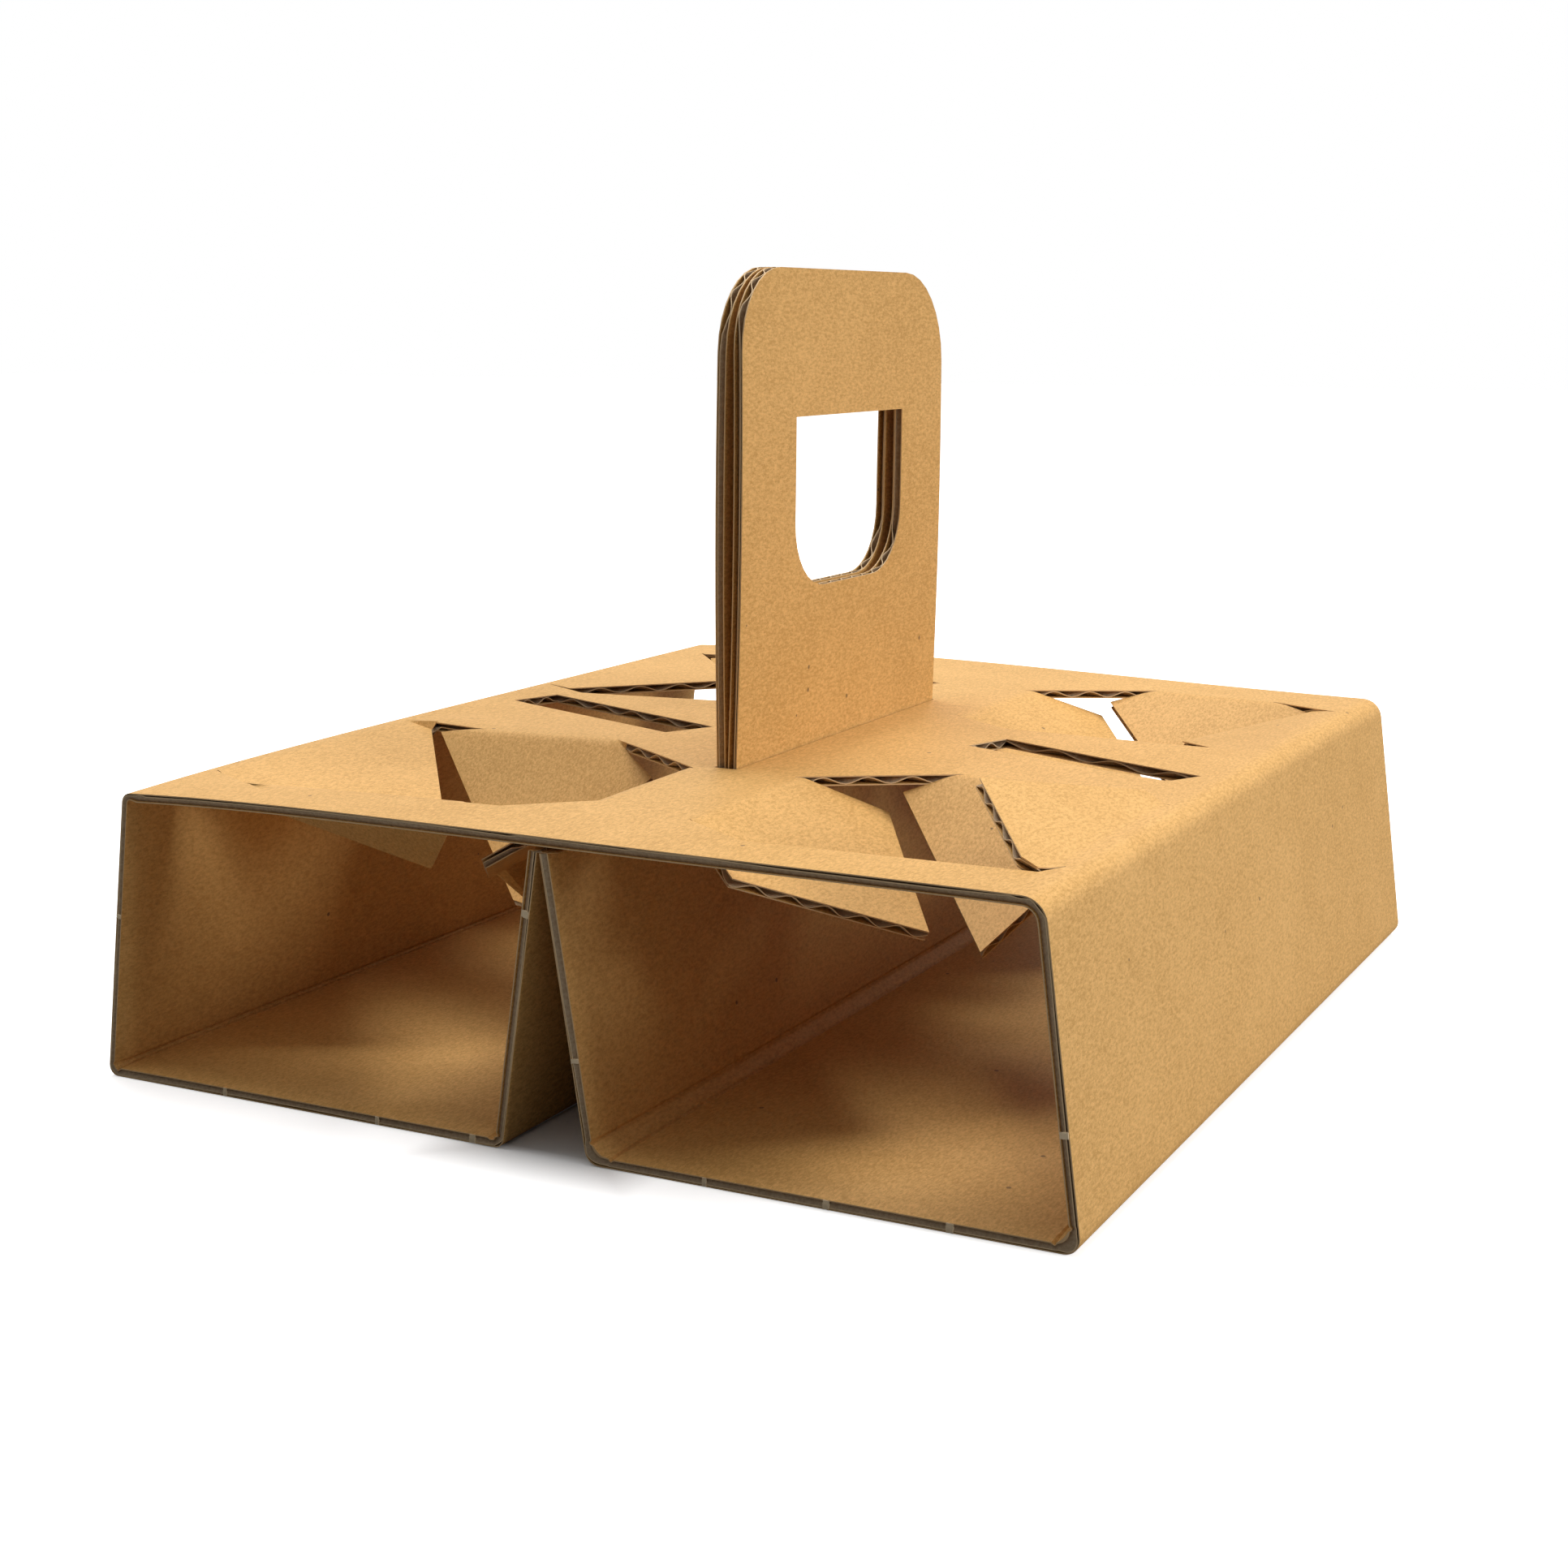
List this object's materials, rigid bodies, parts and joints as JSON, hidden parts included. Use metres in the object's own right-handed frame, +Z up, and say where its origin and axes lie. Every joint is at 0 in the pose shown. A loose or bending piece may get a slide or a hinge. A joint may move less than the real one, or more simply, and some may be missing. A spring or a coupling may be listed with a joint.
{
  "type": "cup carrier",
  "caption": "Folded corrugated-board drinks carrier: two open tubes under a flat top with flapped cup openings and a central two-ply handle.",
  "frame": {"origin": "on the floor, under the middle of the top panel", "axes": "+X across the two tubes to the right, +Y from the front openings to the back ones, +Z up through the handle"},
  "size_m": [0.2484, 0.276, 0.1916],
  "materials": {
    "board": "matte"
  },
  "bodies": {
    "root": {"carrier": "board"}
  },
  "joints": []
}
